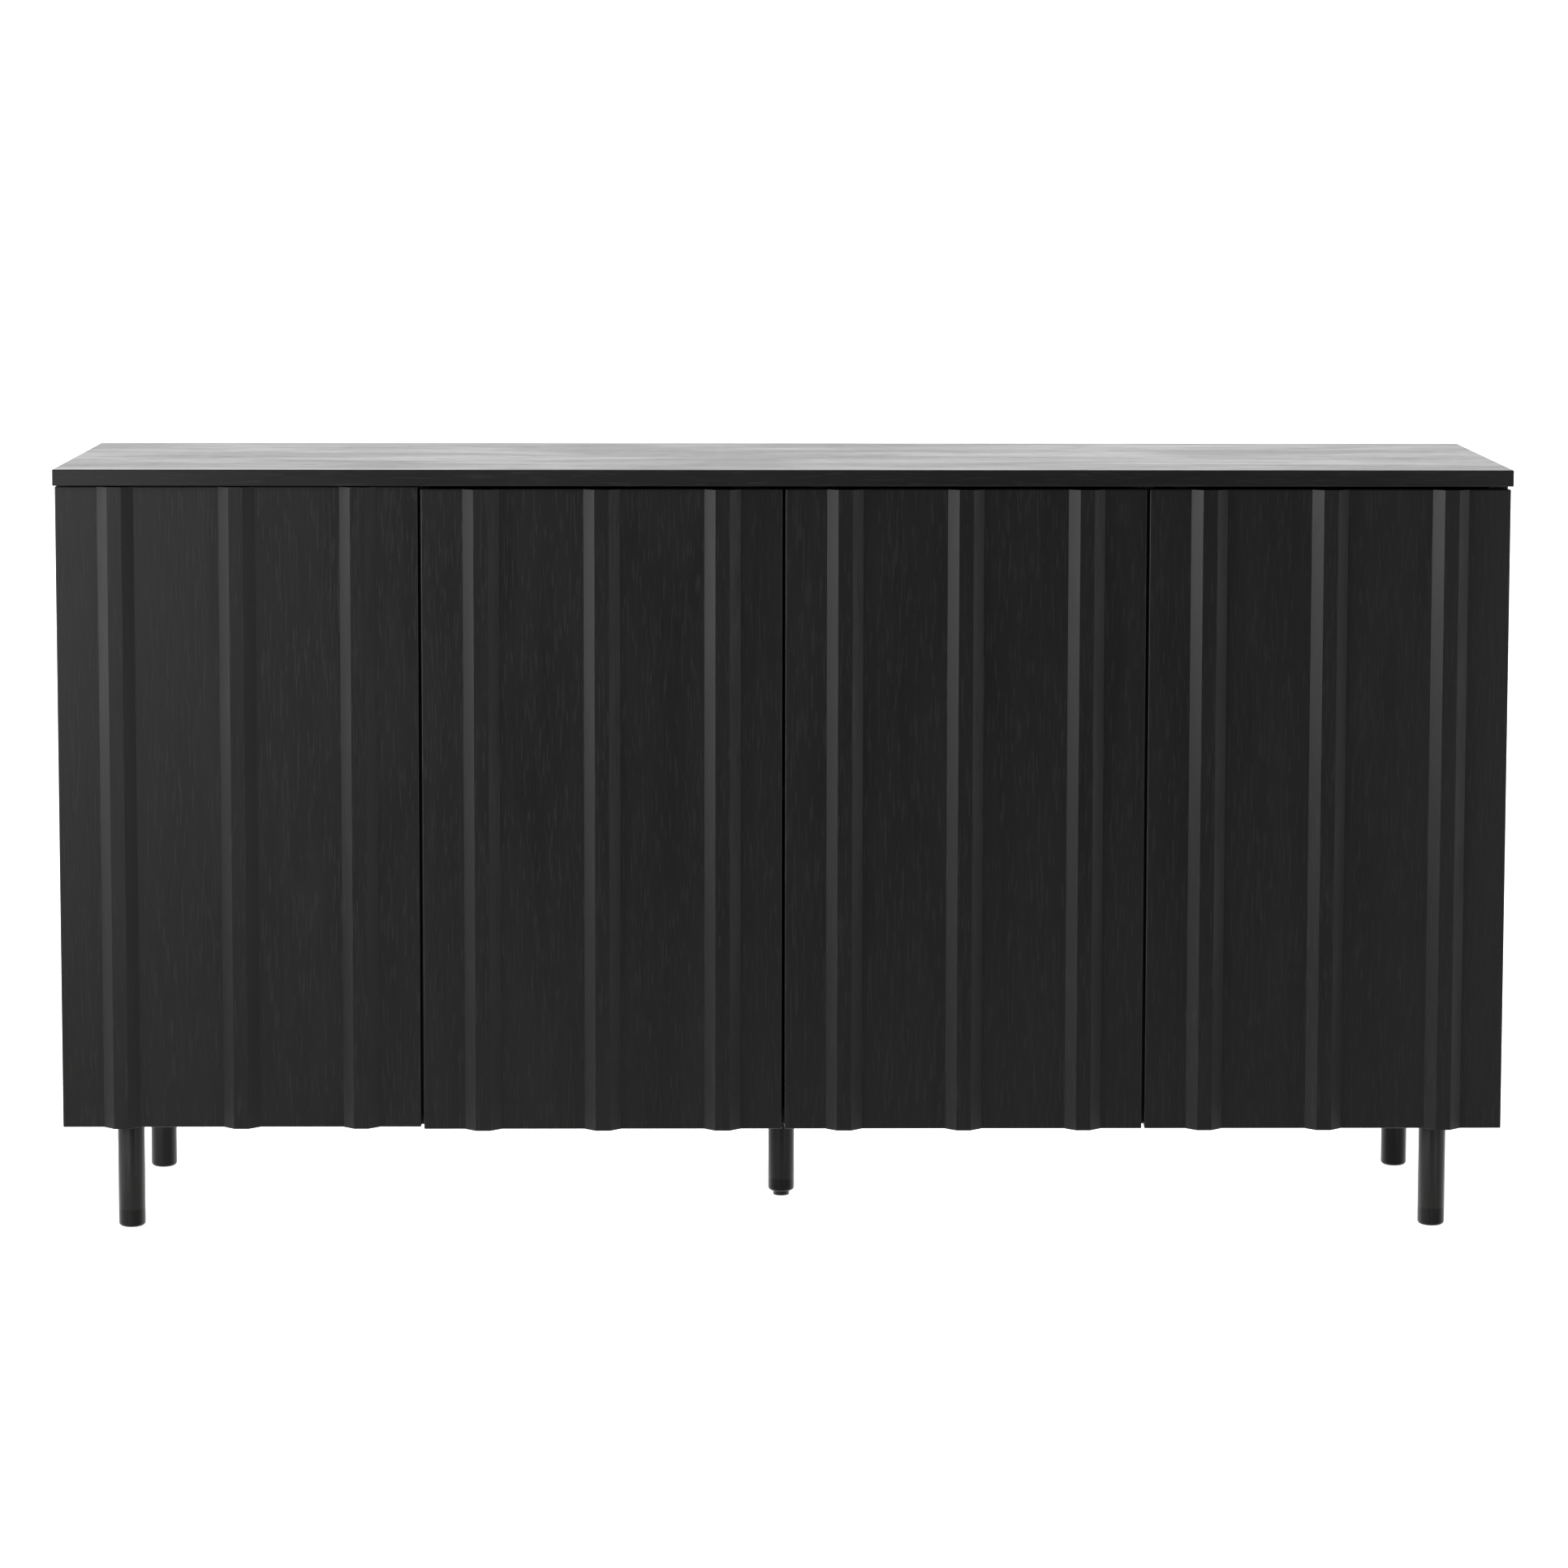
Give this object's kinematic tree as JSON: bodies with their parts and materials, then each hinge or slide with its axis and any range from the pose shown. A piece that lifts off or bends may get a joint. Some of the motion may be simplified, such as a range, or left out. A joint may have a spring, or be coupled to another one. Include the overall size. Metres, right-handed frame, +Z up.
{
  "type": "sideboard buffet",
  "caption": "Low black-stained oak sideboard with ribbed handleless doors, shelves behind them and round legs.",
  "frame": {"origin": "on the floor, under the centre of the top panel's outline", "axes": "+X along the front to the viewer's right, +Y from the doors to the back, +Z up"},
  "size_m": [1.6, 0.4, 0.854],
  "materials": {
    "stained_oak": "black stain on open-pored oak veneer, satin",
    "oak_edge": "black stain on oak edging, satin",
    "inner_board": "matt black faced board",
    "nickel_steel": "nickel-plated pressed steel, satin",
    "zinc_steel": "zinc-plated, satin",
    "beech": "plain fluted beech",
    "black_plastic": "moulded, matt",
    "grey_plastic": "moulded, satin"
  },
  "bodies": {
    "case": {"top_panel": "stained_oak", "bottom_panel": "inner_board", "left_side_panel": "stained_oak", "right_side_panel": "stained_oak", "left_partition": "inner_board", "right_partition": "inner_board", "left_back_panel": "inner_board", "middle_back_panel": "inner_board", "right_back_panel": "inner_board", "left_shelf": "inner_board", "middle_shelf": "inner_board", "right_shelf": "inner_board", "shelf_pins": "nickel_steel", "cam_locks": "zinc_steel", "cam_bolts": "zinc_steel", "dowels": "beech", "front_left_leg": "oak_edge", "front_right_leg": "oak_edge", "rear_left_leg": "oak_edge", "rear_right_leg": "oak_edge", "centre_leg": "oak_edge", "leg_plates": "zinc_steel", "leg_studs": "zinc_steel", "leg_plate_screws": "zinc_steel", "leg_glides": "black_plastic", "side_hinge_arms": "nickel_steel", "partition_hinge_arms": "nickel_steel", "hinge_plates": "nickel_steel", "hinge_screws": "zinc_steel", "latch_housings": "black_plastic", "latch_screws": "zinc_steel"},
    "door_1": {"door_1_panel": "stained_oak", "door_1_ribs": "oak_edge", "door_1_hinge_cups": "nickel_steel", "door_1_hinge_pins": "zinc_steel", "door_1_cup_screws": "zinc_steel", "door_1_strike": "zinc_steel"},
    "door_2": {"door_2_panel": "stained_oak", "door_2_ribs": "oak_edge", "door_2_hinge_cups": "nickel_steel", "door_2_hinge_pins": "zinc_steel", "door_2_cup_screws": "zinc_steel", "door_2_strike": "zinc_steel"},
    "door_3": {"door_3_panel": "stained_oak", "door_3_ribs": "oak_edge", "door_3_hinge_cups": "nickel_steel", "door_3_hinge_pins": "zinc_steel", "door_3_cup_screws": "zinc_steel", "door_3_strike": "zinc_steel"},
    "door_4": {"door_4_panel": "stained_oak", "door_4_ribs": "oak_edge", "door_4_hinge_cups": "nickel_steel", "door_4_hinge_pins": "zinc_steel", "door_4_cup_screws": "zinc_steel", "door_4_strike": "zinc_steel"},
    "plunger_1": {"latch_plunger_1": "grey_plastic"},
    "plunger_2": {"latch_plunger_2": "grey_plastic"},
    "plunger_3": {"latch_plunger_3": "grey_plastic"},
    "plunger_4": {"latch_plunger_4": "grey_plastic"},
    "foot": {"centre_foot": "black_plastic"}
  },
  "joints": [
    {"name": "door_1_hinge", "type": "hinge", "parent": "case", "child": "door_1", "pos_m": [-0.787, -0.182, 0.475], "axis": [0, 0, -1], "range_deg": [0, 100]},
    {"name": "door_2_hinge", "type": "hinge", "parent": "case", "child": "door_2", "pos_m": [-0.38675, -0.182, 0.475], "axis": [0, 0, -1], "range_deg": [0, 90]},
    {"name": "door_3_hinge", "type": "hinge", "parent": "case", "child": "door_3", "pos_m": [0.38675, -0.182, 0.475], "axis": [0, 0, 1], "range_deg": [0, 90]},
    {"name": "door_4_hinge", "type": "hinge", "parent": "case", "child": "door_4", "pos_m": [0.787, -0.182, 0.475], "axis": [0, 0, 1], "range_deg": [0, 100]},
    {"name": "plunger_1_slide", "type": "slide", "parent": "case", "child": "plunger_1", "axis": [0, -1, 0], "range_m": [0, 0.012]},
    {"name": "plunger_2_slide", "type": "slide", "parent": "case", "child": "plunger_2", "axis": [0, -1, 0], "range_m": [0, 0.012]},
    {"name": "plunger_3_slide", "type": "slide", "parent": "case", "child": "plunger_3", "axis": [0, -1, 0], "range_m": [0, 0.012]},
    {"name": "plunger_4_slide", "type": "slide", "parent": "case", "child": "plunger_4", "axis": [0, -1, 0], "range_m": [0, 0.012]},
    {"name": "centre_foot_screw", "type": "slide", "parent": "case", "child": "foot", "axis": [0, 0, 1], "range_m": [0, 0.004]}
  ],
  "couplings": [
    {"joint": "plunger_1_slide", "follows": "door_1_hinge", "m_per_rad": 0.0068},
    {"joint": "plunger_2_slide", "follows": "door_2_hinge", "m_per_rad": 0.0068},
    {"joint": "plunger_3_slide", "follows": "door_3_hinge", "m_per_rad": 0.0068},
    {"joint": "plunger_4_slide", "follows": "door_4_hinge", "m_per_rad": 0.0068}
  ]
}
